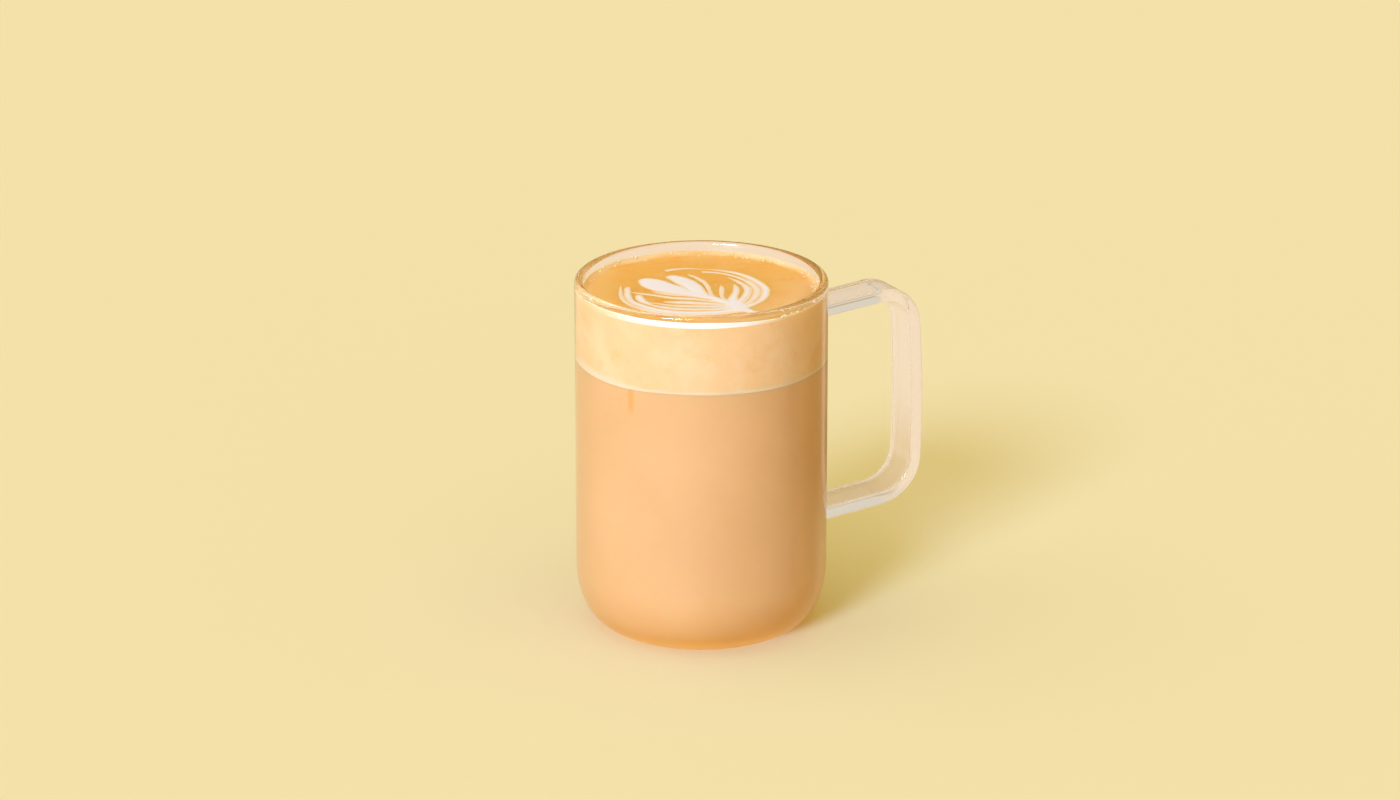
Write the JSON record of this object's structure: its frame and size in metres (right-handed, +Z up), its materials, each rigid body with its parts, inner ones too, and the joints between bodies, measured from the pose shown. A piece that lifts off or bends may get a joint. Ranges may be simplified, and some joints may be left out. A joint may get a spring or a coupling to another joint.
{
  "type": "latte in a glass mug",
  "caption": "Milky coffee with a thick foam layer and a poured leaf pattern, in a tall straight clear glass mug with a flat strap handle.",
  "frame": {"origin": "centre of the mug's flat foot, on the surface that it stands on", "axes": "+Z up along the mug's axis, +X from the axis towards the handle; the mug is symmetric about the XZ plane"},
  "size_m": [0.121, 0.082, 0.1172],
  "materials": {
    "clear_glass": "clear, smooth, polished rim",
    "milky_coffee": "opaque milky coffee",
    "coffee_foam": "thick fine milk foam tinted by coffee, crema on top",
    "white_milk": "white steamed milk poured as a leaf pattern"
  },
  "bodies": {
    "root": {"glass_mug": "clear_glass", "milk_coffee": "milky_coffee", "milk_foam": "coffee_foam"}
  },
  "joints": []
}
